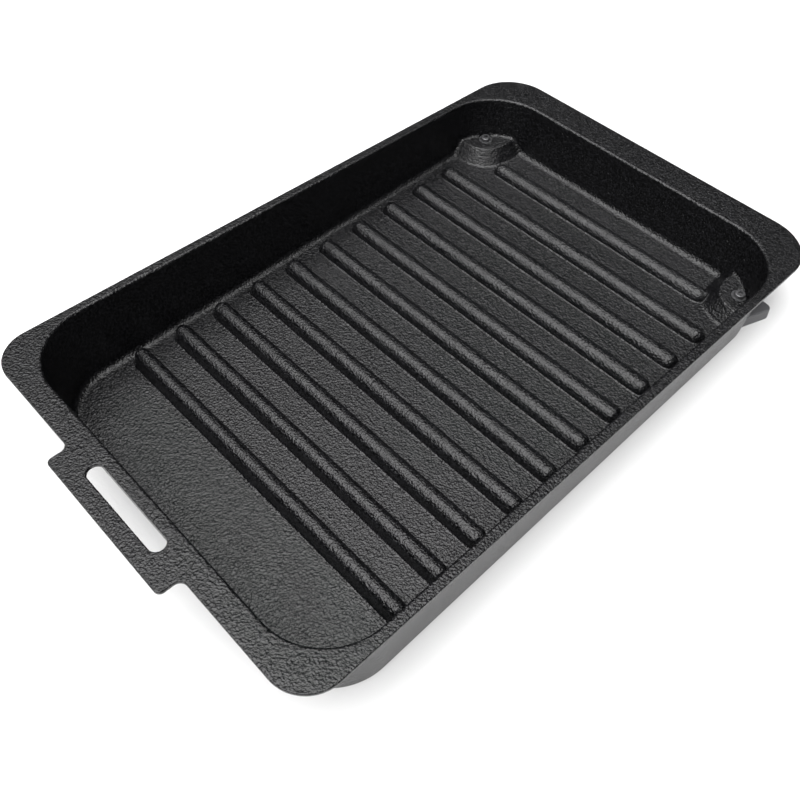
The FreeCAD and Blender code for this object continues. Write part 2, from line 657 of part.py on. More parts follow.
def main():
    nodes = [make_tray()]
    for side, sign in (("left", -1), ("right", 1)):
        nodes.append(make_foot(side, sign))
        nodes.append(make_screw(side, sign))
        nodes.append(make_washer(f"{side}_head_washer", sign, "$head_washer_radius",
                                 "$head_washer_thickness", "$boss_top - $recess_depth"))
        nodes.append(make_washer(f"{side}_friction_washer", sign, "$friction_washer_radius",
                                 "($pocket_height - $foot_height - 2 * $washer_gap)",
                                 "$foot_height + $washer_gap"))
        nodes.append(make_washer(f"{side}_nut_washer", sign, "$nut_washer_radius",
                                 "$nut_washer_thickness", NUT_WASHER_BOTTOM))
        nodes.append(make_nut(side, sign))
    doc.recompute()

    for obj in doc.Objects:
        bad = {"Invalid", "Error"} & set(obj.State)
        assert not bad, f"{obj.Label}: {bad}"
    os.makedirs("parts", exist_ok=True)
    for node in nodes:
        shape = node.Shape
        assert not shape.isNull() and shape.isValid(), node.Label
        box = shape.optimalBoundingBox()
        print(f"{node.Label:24s} solids {len(shape.Solids)} volume {shape.Volume:11.1f}  "
              f"x {box.XMin:7.1f} {box.XMax:7.1f}  y {box.YMin:7.1f} {box.YMax:7.1f}  "
              f"z {box.ZMin:6.2f} {box.ZMax:6.2f}")
        shape.exportStep(f"parts/{node.Label}.step")


main()
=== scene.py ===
import math

import bmesh
import bpy
from mathutils import Matrix, Vector
from mathutils.geometry import delaunay_2d_cdt


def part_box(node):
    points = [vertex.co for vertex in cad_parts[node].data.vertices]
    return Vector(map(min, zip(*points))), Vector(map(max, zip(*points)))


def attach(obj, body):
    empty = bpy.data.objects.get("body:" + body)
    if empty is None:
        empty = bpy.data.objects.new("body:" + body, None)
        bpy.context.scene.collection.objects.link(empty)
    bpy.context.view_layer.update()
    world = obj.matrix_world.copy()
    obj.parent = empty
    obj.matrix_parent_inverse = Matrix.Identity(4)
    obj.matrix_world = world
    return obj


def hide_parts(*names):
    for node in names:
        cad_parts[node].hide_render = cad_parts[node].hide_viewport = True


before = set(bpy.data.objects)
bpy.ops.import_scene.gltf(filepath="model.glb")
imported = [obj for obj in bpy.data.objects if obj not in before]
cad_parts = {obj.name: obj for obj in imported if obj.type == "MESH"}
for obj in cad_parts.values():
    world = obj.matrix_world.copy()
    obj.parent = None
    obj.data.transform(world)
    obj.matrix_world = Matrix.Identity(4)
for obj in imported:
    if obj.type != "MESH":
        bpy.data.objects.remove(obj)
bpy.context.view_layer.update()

# The tray is drawn in millimetres and scaled to metres when a mesh is made. X runs across the
# tray, Y from the handle to the far end, Z up.
MM = 0.001

# ---------------------------------------------------------------- sizes

TRAY_LOW, TRAY_HIGH = (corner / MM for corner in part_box("tray"))
HALF_WIDTH = TRAY_HIGH.x          # rim
NEAR_EDGE = TRAY_LOW.y            # handle tab's outer edge
FAR_EDGE = TRAY_HIGH.y            # far rim
RIM_HEIGHT = 53.85                # top of the rim over the origin
RIM_RISE = math.tan(math.radians(2.12))   # rise of the rim per millimetre towards the handle
RIM_THICKNESS = 3.0
RIM_EDGE_ROUND = 0.85
NEAR_CORNER, FAR_CORNER = 24.0, 35.0      # rim corner radii
TAB_DEPTH, TAB_HALF_WIDTH = 13.6, 53.0
TAB_CORNER, TAB_SHOULDER = 3.6, 4.6
SLOT_HALF_LENGTH, SLOT_RADIUS, SLOT_INSET = 33.65, 5.0, 15.9

WELL_HALF_WIDTH = HALF_WIDTH - 6.9
WELL_NEAR = NEAR_EDGE + TAB_DEPTH + 15.6
WELL_FAR = FAR_EDGE - 25.4
WELL_NEAR_CORNER, WELL_FAR_CORNER = 41.0, 46.0
WALL_SLOPE = 0.045
FAR_WALL_LEAN = 0.075             # further lean of the far wall
FAR_LEAN_FADE = (140.0, 165.0)    # stretch of Y over which that lean sets in
WALL_THICKNESS = 3.0
LIP_ROUND = 1.8
UNDER_RIM_ROUND = 1.3
BASE_ROUND = 1.6
FLOOR = 4.0
FLOOR_FILLET = 5.0

RIB_COUNT = 11
RIB_START, RIB_PITCH = -146.5, 32.42
RIB_HALF_WIDTH, RIB_LEAN = 7.0, 0.21
LAST_RIB_OFFSET, LAST_RIB_SHIFT = 3.0, 2.0   # along X and along Y
RIB_HEIGHT, RIB_FALL = (12.3, 6.8), 2.5   # nearest, farthest, and how the height falls off
RIB_REACH = (130.0, 126.0, 102.0) # nearest, tenth, farthest
RIB_CREST, RIB_FOOT = 0.97, 1.2   # crest as a share of a full round, and the foot's radius

PIVOT_LOW, PIVOT_HIGH = (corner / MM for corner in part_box("right_pivot_screw"))
PIVOT = ((PIVOT_LOW + PIVOT_HIGH) / 2).to_2d()
BOSS_CENTRE = PIVOT + Vector((11.0, 11.0))
BOSS_HEIGHT = 11.4                # above the floor
BOSS_TOP_REACH, BOSS_BASE_REACH = 27.0, 35.0
BOSS_SQUARENESS = 2.6             # 2 is round, larger is squarer
BOSS_ROUND, BOSS_FOOT = 1.3, 3.0
BOSS_BACK_FILLET = 2.4            # between the boss's top and the walls
BOSS_EDGE_STEPS = 200             # points along each line round a boss
BOSS_EDGE_SPAN = (-140, 50)       # degrees round the boss, from the direction into the well
BOSS_EDGE_MARGIN = 0.3            # the lines stop this far inside the wall's foot
RECESS_RADIUS, RECESS_DEPTH = 5.9, 1.2
RECESS_INNER_ROUND, RECESS_OUTER_ROUND = 0.3, 0.5
POCKET_RADIUS, POCKET_CEILING = 29.0, 9.4
HOLE_RADIUS = 2.58

FOOT_ANGLE = math.radians(-20)
FOOT_LOBES = [(0, 0, 10.5), (11.7, -6.8, 5.0), (11.8, 15.8, 4.9), (0, 12.0, 6.1)]
FOOT_HEIGHT, FOOT_DRAFT = 8.6, math.tan(math.radians(6))
NUT_RECESS_RADIUS, NUT_RECESS_DEPTH = 5.6, 6.0


# ---------------------------------------------------------------- outlines and profiles
# An outline is a closed anticlockwise list of (x, y, outward normal x, outward normal y).

def arc(cx, cy, radius, start, turn, steps):
    """Arc of an outline, angles in degrees, without its last point. A negative turn is hollow."""
    points = []
    for i in range(steps):
        angle = math.radians(start + turn * i / steps)
        c, s = math.cos(angle), math.sin(angle)
        way = 1 if turn > 0 else -1
        points.append((cx + radius * c, cy + radius * s, way * c, way * s))
    return points


def straight(x1, y1, x2, y2, step):
    """Straight stretch of an outline, without its last point."""
    length = math.hypot(x2 - x1, y2 - y1)
    nx, ny = (y2 - y1) / length, (x1 - x2) / length
    count = max(1, round(length / step))
    return [(x1 + (x2 - x1) * i / count, y1 + (y2 - y1) * i / count, nx, ny) for i in range(count)]


def well_outline():
    w, near, far = WELL_HALF_WIDTH, WELL_NEAR, WELL_FAR
    rn, rf = WELL_NEAR_CORNER, WELL_FAR_CORNER
    spacing = 3
    return (arc(w - rn, near + rn, rn, -90, 90, 28) + straight(w, near + rn, w, far - rf, spacing)
            + arc(w - rf, far - rf, rf, 0, 90, 40) + straight(w - rf, far, rf - w, far, spacing)
            + arc(rf - w, far - rf, rf, 90, 90, 40) + straight(-w, far - rf, -w, near + rn, spacing)
            + arc(rn - w, near + rn, rn, 180, 90, 28)
            + straight(rn - w, near, w - rn, near, spacing))


def rim_outline():
    w, edge, far = HALF_WIDTH, NEAR_EDGE, FAR_EDGE
    near = edge + TAB_DEPTH
    rn, rf, tab, rc, rs = NEAR_CORNER, FAR_CORNER, TAB_HALF_WIDTH, TAB_CORNER, TAB_SHOULDER
    spacing = 6
    return (straight(rc - tab, edge, tab - rc, edge, spacing)
            + arc(tab - rc, edge + rc, rc, -90, 90, 8)
            + straight(tab, edge + rc, tab, near - rs, spacing)
            + arc(tab + rs, near - rs, rs, 180, -90, 8)
            + straight(tab + rs, near, w - rn, near, spacing)
            + arc(w - rn, near + rn, rn, -90, 90, 24)
            + straight(w, near + rn, w, far - rf, spacing)
            + arc(w - rf, far - rf, rf, 0, 90, 30)
            + straight(w - rf, far, rf - w, far, spacing)
            + arc(rf - w, far - rf, rf, 90, 90, 30)
            + straight(-w, far - rf, -w, near + rn, spacing)
            + arc(rn - w, near + rn, rn, 180, 90, 24)
            + straight(rn - w, near, -tab - rs, near, spacing)
            + arc(-tab - rs, near - rs, rs, 90, -90, 8)
            + straight(-tab, near - rs, -tab, edge + rc, spacing)
            + arc(rc - tab, edge + rc, rc, 180, 90, 8))


def obround(cx, cy, half_length, radius, end_steps, spacing):
    """Slot shape along X; its half length is the overall one at this radius."""
    a = half_length - radius
    return (straight(cx - a, cy - radius, cx + a, cy - radius, spacing)
            + arc(cx + a, cy, radius, -90, 180, end_steps)
            + straight(cx + a, cy + radius, cx - a, cy + radius, spacing)
            + arc(cx - a, cy, radius, 90, 180, end_steps))


def circle(cx, cy, radius, steps):
    return arc(cx, cy, radius, 0, 360, steps)


def lobed(circles, steps):
    """Outline of the string stretched round circles given as (x, y, radius), anticlockwise."""
    touches = []
    for (x1, y1, r1), (x2, y2, r2) in zip(circles, circles[1:] + circles[:1]):
        heading = math.atan2(y2 - y1, x2 - x1)
        touches.append(heading - math.pi / 2 + math.asin((r2 - r1) / math.hypot(x2 - x1, y2 - y1)))
    outline = []
    for i, (x, y, radius) in enumerate(circles):
        start, turn = touches[i - 1], (touches[i] - touches[i - 1]) % (2 * math.pi)
        outline += arc(x, y, radius, math.degrees(start), math.degrees(turn), steps)
        ends = [(cx + r * math.cos(touches[i]), cy + r * math.sin(touches[i]))
                for cx, cy, r in (circles[i], circles[(i + 1) % len(circles)])]
        outline += straight(*ends[0], *ends[1], 2.5)
    return outline


def rounded(corners, radii, steps=4):
    """Profile through corners, in which each inner corner is an arc of its radius."""
    points = [corners[0]]
    for before, here, after, radius in zip(corners, corners[1:], corners[2:], radii):
        p, a, b = Vector(here), Vector(before), Vector(after)
        u, v = (a - p).normalized(), (b - p).normalized()
        half = u.angle(v) / 2
        centre = p + (u + v).normalized() * (radius / math.sin(half))
        reach = radius / math.tan(half)
        first, last = p + u * reach - centre, p + v * reach - centre
        start = math.atan2(first.y, first.x)
        turn = (math.atan2(last.y, last.x) - start + math.pi) % (2 * math.pi) - math.pi
        for k in range(steps + 1):
            angle = start + turn * k / steps
            points.append((centre.x + radius * math.cos(angle),
                           centre.y + radius * math.sin(angle)))
    points.append(corners[-1])
    return points


def along(profile, s):
    """Height of a profile, a list of (distance, height) with rising distances."""
    if s <= profile[0][0]:
        return profile[0][1]
    for (s1, h1), (s2, h2) in zip(profile, profile[1:]):
        if s <= s2:
            return h1 + (h2 - h1) * (s - s1) / (s2 - s1) if s2 > s1 else h2
    return profile[-1][1]


# ---------------------------------------------------------------- shells

class Shell:
    """Vertices and faces of one piece, gathered ring by ring in millimetres."""

    def __init__(self):
        self.points = []
        self.faces = []

    def add(self, x, y, z):
        self.points.append((x, y, z))
        return len(self.points) - 1

    def ring(self, outline, offset, height):
        """Ring of points along an outline moved out by the offset, at height(x, y)."""
        ring = []
        for x, y, nx, ny in outline:
            px, py = x + nx * offset, y + ny * offset
            ring.append(self.add(px, py, height(px, py)))
        return ring

    def bridge(self, rings):
        """Quads between rings of equal length."""
        for a, b in zip(rings, rings[1:]):
            for i in range(len(a)):
                j = (i + 1) % len(a)
                self.faces.append((a[i], a[j], b[j], b[i]))

    def fill(self, rings, height, lines=(), outer=None, holes=()):
        """Triangles between closed rings and along open lines of points.

        Lines that cross get a point there at height(x, y). Without an outer ring, the whole
        convex hull is filled."""
        chains = [(ring, True) for ring in rings] + [(line, False) for line in lines]
        index, edges = [], []
        for chain, closed in chains:
            first = len(index)
            index += chain
            count = len(chain)
            last = count if closed else count - 1
            edges += [(first + k, first + (k + 1) % count) for k in range(last)]
        flat = [Vector(self.points[i][:2]) for i in index]
        corners, _, triangles, sources, _, _ = delaunay_2d_cdt(flat, edges, [], 0, 1e-5)
        names = []
        for corner, source in zip(corners, sources):
            names.append(index[source[0]] if source
                         else self.add(corner.x, corner.y, height(corner.x, corner.y)))
        for triangle in triangles:
            centre = sum((corners[k] for k in triangle), Vector((0, 0))) / 3
            if outer is not None and not self.encloses(outer, centre):
                continue
            if any(self.encloses(hole, centre) for hole in holes):
                continue
            self.faces.append(tuple(names[k] for k in triangle))

    def encloses(self, ring, point):
        """Whether a ring goes round a point, seen from above."""
        inside = False
        for i, j in zip(ring, ring[1:] + ring[:1]):
            x1, y1 = self.points[i][:2]
            x2, y2 = self.points[j][:2]
            if (y1 > point.y) != (y2 > point.y):
                if point.x < x1 + (x2 - x1) * (point.y - y1) / (y2 - y1):
                    inside = not inside
        return inside

    def mesh(self, name, place=Matrix.Identity(4)):
        """Object of this shell, in metres, its points taken through a placement in millimetres."""
        data = bpy.data.meshes.new(name)
        points = [place @ Vector(p) * MM for p in self.points]
        bm = bmesh.new()
        vertices = [bm.verts.new(p) for p in points]
        for face in self.faces:
            bm.faces.new([vertices[i] for i in face])
        bmesh.ops.delete(bm, geom=[v for v in bm.verts if not v.link_faces], context="VERTS")
        bmesh.ops.recalc_face_normals(bm, faces=bm.faces)
        if bm.calc_volume(signed=True) < 0:
            bmesh.ops.reverse_faces(bm, faces=bm.faces)
        bm.to_mesh(data)
        bm.free()
        piece = bpy.data.objects.new(name, data)
        bpy.context.collection.objects.link(piece)
        return piece


def finish_surface(piece, sharp=42):
    """Smooth shading that keeps flat faces flat and corners over an angle sharp."""
    data = piece.data
    data.polygons.foreach_set("use_smooth", [True] * len(data.polygons))
    data.set_sharp_from_angle(angle=math.radians(sharp))
    weighted = piece.modifiers.new("flat faces", "WEIGHTED_NORMAL")
    weighted.keep_sharp = True
    weighted.weight = 80


# ---------------------------------------------------------------- tray

def level(down):
    """Height function of a plane parallel to the rim's top, moved by down."""
    return lambda x, y: RIM_HEIGHT - RIM_RISE * y + down


def flat(z):
    """Height function of a horizontal plane."""
    return lambda x, y: z


def rib_profiles():
    """(middle x, middle y, reach, profile) of each rib; the profile starts at its middle line."""
    ribs = []
    last = RIB_COUNT - 1
    near, far = RIB_HEIGHT
    half_corner = math.pi / 4 + math.atan(RIB_LEAN) / 2
    for i in range(RIB_COUNT):
        height = far + (near - far) * (1 - i / last) ** RIB_FALL
        reach = RIB_REACH[2] if i == last else (
            RIB_REACH[0] + (RIB_REACH[1] - RIB_REACH[0]) * i / (last - 1))
        top = RIB_HALF_WIDTH - RIB_LEAN * height
        corners = [(0, height), (top, height), (RIB_HALF_WIDTH, 0), (RIB_HALF_WIDTH + 3, 0)]
        crest = RIB_CREST * top * math.tan(half_corner)
        profile = rounded(corners, (crest, RIB_FOOT), steps=8)
        offset, shift = (LAST_RIB_OFFSET, LAST_RIB_SHIFT) if i == last else (0, 0)
        ribs.append((offset, RIB_START + i * RIB_PITCH + shift, reach, profile[:-1]))
    return ribs


RIBS = rib_profiles()
BOSS = rounded([(0, BOSS_HEIGHT), (BOSS_TOP_REACH, BOSS_HEIGHT), (BOSS_BASE_REACH, 0),
                (BOSS_BASE_REACH + 6, 0)], (BOSS_ROUND, BOSS_FOOT), steps=5)[:-1]
RECESS = rounded([(0, -RECESS_DEPTH), (RECESS_RADIUS - RECESS_INNER_ROUND, -RECESS_DEPTH),
                  (RECESS_RADIUS, 0), (RECESS_RADIUS + 3, 0)],
                 (RECESS_INNER_ROUND, RECESS_OUTER_ROUND), steps=3)[1:-1]
WALL_FOOT = FLOOR + FLOOR_FILLET                     # height at which the walls begin
FOOT_LEAN = WALL_SLOPE * (WALL_FOOT - RIM_HEIGHT)    # outline of the wall's foot, from the rim's
FAR_FOOT = WELL_FAR + FAR_WALL_LEAN * (WALL_FOOT - RIM_HEIGHT)


def depth_inside(x, y):
    """Distance from the wall's foot, positive inside the well."""
    middle = (WELL_NEAR + FAR_FOOT) / 2
    corner = (WELL_FAR_CORNER if y > middle else WELL_NEAR_CORNER) + FOOT_LEAN
    across = abs(x) - (WELL_HALF_WIDTH + FOOT_LEAN) + corner
    lengthwise = abs(y - middle) - ((FAR_FOOT - WELL_NEAR) / 2 + FOOT_LEAN) + corner
    outside = math.hypot(max(across, 0), max(lengthwise, 0))
    return corner - outside - min(max(across, lengthwise), 0)


def boss_reach(x, y):
    """Radius of the boss outline through a point."""
    dx, dy = abs(abs(x) - BOSS_CENTRE.x), abs(y - BOSS_CENTRE.y)
    return (dx ** BOSS_SQUARENESS + dy ** BOSS_SQUARENESS) ** (1 / BOSS_SQUARENESS)


def floor_height(x, y):
    """Height of the well's floor with its ribs, bosses and the fillet up to the walls."""
    height = FLOOR
    number = min(max(round((y - RIB_START) / RIB_PITCH), 0), RIB_COUNT - 1)
    middle, centre, reach, profile = RIBS[number]
    spine = reach - RIB_HALF_WIDTH
    height += along(profile, math.hypot(max(abs(x - middle) - spine, 0), y - centre))
    boss = along(BOSS, boss_reach(x, y))
    height += boss
    height += along(RECESS, math.hypot(abs(x) - PIVOT.x, y - PIVOT.y))
    share = boss / BOSS_HEIGHT
    radius = FLOOR_FILLET + (BOSS_BACK_FILLET - FLOOR_FILLET) * share
    inside = max(depth_inside(x, y), 0)
    if inside < radius:
        height += radius - math.sqrt(radius ** 2 - (radius - inside) ** 2)
    return height


def on_wall(x, y, nx, ny, offset, z):
    """Point of a leaning wall at a height, moved out from the well's face by the offset."""
    depth = z - RIM_HEIGHT
    start, end = FAR_LEAN_FADE
    share = min(max((y - start) / (end - start), 0), 1)
    move = offset + WALL_SLOPE * depth
    return x + nx * move, y + ny * move + FAR_WALL_LEAN * depth * share


def wall_ring(shell, outline, offset, height):
    """Ring on a leaning wall: each point is at height(x, y)."""
    ring = []
    for x, y, nx, ny in outline:
        px, py = on_wall(x, y, nx, ny, offset, height(x, y))
        ring.append(shell.add(px, py, height(px, py)))
    return ring


def foot_ring(shell, outline, inset):
    """Ring on the well's floor, in from the wall's foot by the inset."""
    ring = []
    for point in outline:
        x, y = on_wall(*point, -inset, WALL_FOOT)
        ring.append(shell.add(x, y, floor_height(x, y)))
    return ring


def boss_lines(shell):
    """Open lines of points round the bosses, stopping short of the wall's foot."""
    lines = []
    start, end = BOSS_EDGE_SPAN
    for side in (-1, 1):
        for reach, _ in BOSS[1:]:
            line = []
            for k in range(BOSS_EDGE_STEPS + 1):
                angle = math.radians(start + (end - start) * k / BOSS_EDGE_STEPS)
                c, s = math.cos(angle), math.sin(angle)
                scale = reach / boss_reach(BOSS_CENTRE.x + c, BOSS_CENTRE.y + s)
                x, y = side * (BOSS_CENTRE.x - scale * c), BOSS_CENTRE.y + scale * s
                if depth_inside(x, y) > BOSS_EDGE_MARGIN:
                    line.append(shell.add(x, y, floor_height(x, y)))
            lines.append(line)
    return lines


def make_tray():
    shell = Shell()
    well, rim = well_outline(), rim_outline()

    # Floor: the wall's foot, its fillet, the ribs, the bosses and the screw head recesses.
    steps = 6
    floor_rings = [foot_ring(shell, well, FLOOR_FILLET * (1 - math.cos(math.pi / 2 * k / steps)))
                   for k in range(steps + 1)]
    for middle, centre, reach, profile in RIBS:
        spine = reach - RIB_HALF_WIDTH
        for distance, _ in profile[1:]:
            outline = obround(middle, centre, spine + distance, distance, 16, 20)
            floor_rings.append(shell.ring(outline, 0, floor_height))
    for side in (-1, 1):
        for radius, _ in RECESS:
            floor_rings.append(shell.ring(
                circle(side * PIVOT.x, PIVOT.y, radius, 40), 0, floor_height))
    shell.fill(floor_rings, floor_height, lines=boss_lines(shell))

    # Inner wall and rounded lip.
    lip = rounded([(-WALL_SLOPE * 10, -10), (0, 0), (10, 0)], (LIP_ROUND,), steps=5)[1:-1]
    wall = [floor_rings[0]]
    for out, down in lip:
        wall.append(wall_ring(shell, well, out - WALL_SLOPE * down, level(down)))
    shell.bridge(wall)

    # Rim with its handle tab and finger slot: top, edges and underside.
    half = -RIM_THICKNESS / 2
    edge = rounded([(-4, 0), (0, 0), (0, half)], (RIM_EDGE_ROUND,), steps=3)[1:]
    edge += [(out, 2 * half - down) for out, down in edge[-2::-1]]
    slot = obround(0, NEAR_EDGE + SLOT_INSET, SLOT_HALF_LENGTH, SLOT_RADIUS, 20, 6)

    rim_rings = [shell.ring(rim, out, level(down)) for out, down in edge]
    slot_rings = [shell.ring(slot, -out, level(down)) for out, down in edge]
    shell.bridge(rim_rings)
    shell.bridge(slot_rings)
    shell.fill([wall[-1], rim_rings[0], slot_rings[0]], level(0), outer=rim_rings[0],
               holes=(wall[-1], slot_rings[0]))

    # Outer wall, from the rim's underside down to the base.
    under = rounded([(10, -RIM_THICKNESS), (0, -RIM_THICKNESS),
                     (-WALL_SLOPE * 10, -RIM_THICKNESS - 10)],
                    (UNDER_RIM_ROUND,), steps=3)[1:-1]
    outer = []
    for out, down in under:
        lean = WALL_SLOPE * (down + RIM_THICKNESS)
        outer.append(wall_ring(shell, well, WALL_THICKNESS + out - lean, level(down)))
    shell.fill([rim_rings[-1], outer[0], slot_rings[-1]], level(-RIM_THICKNESS),
               outer=rim_rings[-1], holes=(outer[0], slot_rings[-1]))
    base = rounded([(WALL_SLOPE * 10, 10), (0, 0), (-10, 0)], (BASE_ROUND,), steps=4)[1:-1]
    for out, up in base:
        outer.append(wall_ring(shell, well, WALL_THICKNESS + out - WALL_SLOPE * up, flat(up)))
    shell.bridge(outer)
    shell.fill([outer[-1]], flat(0))

    piece = shell.mesh("tray_casting")
    cut_out(piece, POCKET_RADIUS, BOSS_CENTRE, -2, POCKET_CEILING, 128)
    cut_out(piece, HOLE_RADIUS, PIVOT, POCKET_CEILING - 1, FLOOR + BOSS_HEIGHT + 1, 32)
    finish_surface(piece)
    return piece


def cut_out(piece, radius, centre, bottom, top, steps):
    """Take an upright cylinder out of the piece at the centre and at its mirror image."""
    tool = Shell()
    for side in (-1, 1):
        outline = circle(side * centre.x, centre.y, radius, steps)
        rings = [tool.ring(outline, 0, flat(height)) for height in (bottom, top)]
        tool.bridge(rings)
        tool.faces += [tuple(rings[0]), tuple(rings[1])]
    cutter = tool.mesh("cutter")
    modifier = piece.modifiers.new("cut", "BOOLEAN")
    modifier.operation = "DIFFERENCE"
    modifier.solver = "EXACT"
    modifier.object = cutter
    graph = bpy.context.evaluated_depsgraph_get()
    result = bpy.data.meshes.new_from_object(piece.evaluated_get(graph))
    piece.modifiers.clear()
    piece.data = result
    bpy.data.objects.remove(cutter)


# ---------------------------------------------------------------- feet

def make_foot(side):
    """Swivel foot in the frame of its pivot, then turned and put in place."""
    shell = Shell()
    outline = lobed(FOOT_LOBES, 12)
    drawn_in = FOOT_DRAFT * FOOT_HEIGHT
    flank = rounded([(-5, 0), (0, 0), (-drawn_in, FOOT_HEIGHT), (-drawn_in - 5, FOOT_HEIGHT)],
                    (0.5, 1.1), steps=4)[1:-1]
    flank_rings = [shell.ring(outline, out, flat(up)) for out, up in flank]
    shell.bridge(flank_rings)

    bore = rounded([(-12, 0), (-NUT_RECESS_RADIUS, 0), (-NUT_RECESS_RADIUS, NUT_RECESS_DEPTH),
                    (-HOLE_RADIUS, NUT_RECESS_DEPTH), (-HOLE_RADIUS, FOOT_HEIGHT),
                    (-5, FOOT_HEIGHT)],
                   (0.4, 0.2, 0.2, 0.2), steps=2)[1:-1]
    bore_rings = [shell.ring(circle(0, 0, 1, 48), -out - 1, flat(up)) for out, up in bore]
    shell.bridge(bore_rings)
    for end in (0, -1):
        ring, hole = flank_rings[end], bore_rings[end]
        shell.fill([ring, hole], flat(0), outer=ring, holes=(hole,))
    place = (Matrix.Diagonal((side, 1, 1, 1)) @ Matrix.Translation((PIVOT.x, PIVOT.y, 0))
             @ Matrix.Rotation(FOOT_ANGLE, 4, "Z"))
    name = "right" if side > 0 else "left"
    piece = shell.mesh(f"{name}_foot_casting", place)
    finish_surface(piece, sharp=50)
    return piece


# ---------------------------------------------------------------- materials

class Look:
    """A node material under construction, with object coordinates in metres."""

    def __init__(self, name):
        self.material = bpy.data.materials.new(name)
        self.material.use_nodes = True
        self.nodes = self.material.node_tree.nodes
        self.links = self.material.node_tree.links
        self.shader = self.nodes["Principled BSDF"]
        self.place = self.nodes.new("ShaderNodeTexCoord").outputs["Object"]

    def texture(self, kind, scale, output, **settings):
        node = self.nodes.new(kind)
        self.links.new(self.place, node.inputs["Vector"])
        node.inputs["Scale"].default_value = scale
        for name, value in settings.items():
            if name in node.inputs:
                node.inputs[name].default_value = value
            else:
                setattr(node, name, value)
        return node.outputs[output]

    def spread(self, value, low, high):
        """Map a 0 to 1 value to a range."""
        node = self.nodes.new("ShaderNodeMapRange")
        node.inputs["From Min"].default_value = 0.25
        node.inputs["From Max"].default_value = 0.75
        node.inputs["To Min"].default_value = low
        node.inputs["To Max"].default_value = high
        self.links.new(value, node.inputs["Value"])
        return node.outputs["Result"]

    def colours(self, value, dark, light, low=0.3, high=0.7):
        ramp = self.nodes.new("ShaderNodeValToRGB")
        ramp.color_ramp.elements[0].position = low
        ramp.color_ramp.elements[0].color = (*dark, 1)
        ramp.color_ramp.elements[1].position = high
        ramp.color_ramp.elements[1].color = (*light, 1)
        self.links.new(value, ramp.inputs["Fac"])
        return ramp.outputs["Color"]

    def bump(self, height, distance, strength=1.0, under=None):
        node = self.nodes.new("ShaderNodeBump")
        node.inputs["Distance"].default_value = distance
        node.inputs["Strength"].default_value = strength
        self.links.new(height, node.inputs["Height"])
        if under is not None:
            self.links.new(under, node.inputs["Normal"])
        return node.outputs["Normal"]

    def shade(self, **sockets):
        """Set shader sockets to numbers, or link them to outputs."""
        for name, value in sockets.items():
            socket = self.shader.inputs[name.replace("_", " ")]
            if isinstance(value, bpy.types.NodeSocket):
                self.links.new(value, socket)
            else:
                socket.default_value = value
        return self.material


def cast_coating():
    """Black pebbled coating: grains a little over a millimetre across, with their own random tone
    and a painted highlight that makes their tops paler.
    """
    look = Look("cast_coating")
    grain = look.texture("ShaderNodeTexNoise", 800, "Fac", Detail=1.5, Roughness=0.5,
                         Distortion=0.4)
    pits = look.texture("ShaderNodeTexVoronoi", 480, "Distance", feature="SMOOTH_F1",
                        Smoothness=0.5)
    cloud = look.texture("ShaderNodeTexNoise", 16, "Fac", Detail=3.0)
    normal = look.bump(pits, 0.0003, 0.7)
    normal = look.bump(grain, 0.0007, 1.0, under=normal)
    # The colour follows the bump's height, so the grain tops are painted paler: partly the grain's
    # own tone, partly a painted highlight.
    colour = look.colours(grain, (0.0006, 0.0006, 0.0008), (0.011, 0.011, 0.0125), 0.46, 0.66)
    return look.shade(Base_Color=colour, Roughness=look.spread(cloud, 0.20, 0.26), Normal=normal,
                      Specular_IOR_Level=0.44)


def foot_coating():
    look = Look("foot_coating")
    grain = look.texture("ShaderNodeTexNoise", 1300, "Fac", Detail=2.0)
    cloud = look.texture("ShaderNodeTexNoise", 60, "Fac", Detail=3.0)
    normal = look.bump(grain, 0.0002, 0.6)
    colour = look.colours(cloud, (0.075, 0.075, 0.079), (0.10, 0.10, 0.105))
    return look.shade(Base_Color=colour, Roughness=look.spread(cloud, 0.42, 0.52), Normal=normal)


def blackened_screw():
    look = Look("blackened_screw")
    worn = look.texture("ShaderNodeTexNoise", 700, "Fac", Detail=4.0)
    normal = look.bump(worn, 0.00005, 0.5)
    colour = look.colours(worn, (0.05, 0.05, 0.053), (0.16, 0.16, 0.165))
    return look.shade(Base_Color=colour, Metallic=0.7, Roughness=look.spread(worn, 0.24, 0.38),
                      Normal=normal)


def plated_steel():
    look = Look("plated_steel")
    turned = look.texture("ShaderNodeTexNoise", 900, "Fac", Detail=5.0)
    colour = look.colours(turned, (0.34, 0.34, 0.35), (0.5, 0.5, 0.51))
    return look.shade(Base_Color=colour, Metallic=1.0, Roughness=look.spread(turned, 0.26, 0.42),
                      Normal=look.bump(turned, 0.00003, 0.4))


def washer_polymer():
    look = Look("washer_polymer")
    grain = look.texture("ShaderNodeTexNoise", 1200, "Fac", Detail=3.0)
    colour = look.colours(grain, (0.09, 0.09, 0.09), (0.14, 0.14, 0.14))
    return look.shade(Base_Color=colour, Roughness=look.spread(grain, 0.55, 0.7),
                      Normal=look.bump(grain, 0.00006, 0.5))


def paint(piece, material):
    piece.data.materials.clear()
    piece.data.materials.append(material)


# ---------------------------------------------------------------- studio

CAMERA_AZIMUTH, CAMERA_ELEVATION, CAMERA_ROLL = (math.radians(a) for a in (45.19, 53.486, 1.189))
CAMERA_TARGET = Vector((42.068, -67.193, 50.0)) * MM
CAMERA_DISTANCE = 493.41 * MM
CAMERA_LENS = 37.713

# Brightness of the sky against the cosine of the angle from its brightest direction.
SKY_DIRECTION = (0.0, -0.28, 1.0)
SKY = [(0.0, 0.01), (0.5, 0.02), (0.70, 0.04), (0.82, 0.7), (0.90, 1.0)]
SKY_STRENGTH = 5.8

FLOOR_SIZE = 6                                # metres, as are the key light's sizes
KEY_PLACE, KEY_TARGET = (-0.25, 0.05, 0.48), (0, -0.12, 0)
KEY_SIZE, KEY_POWER = (0.3, 0.3), 0.16


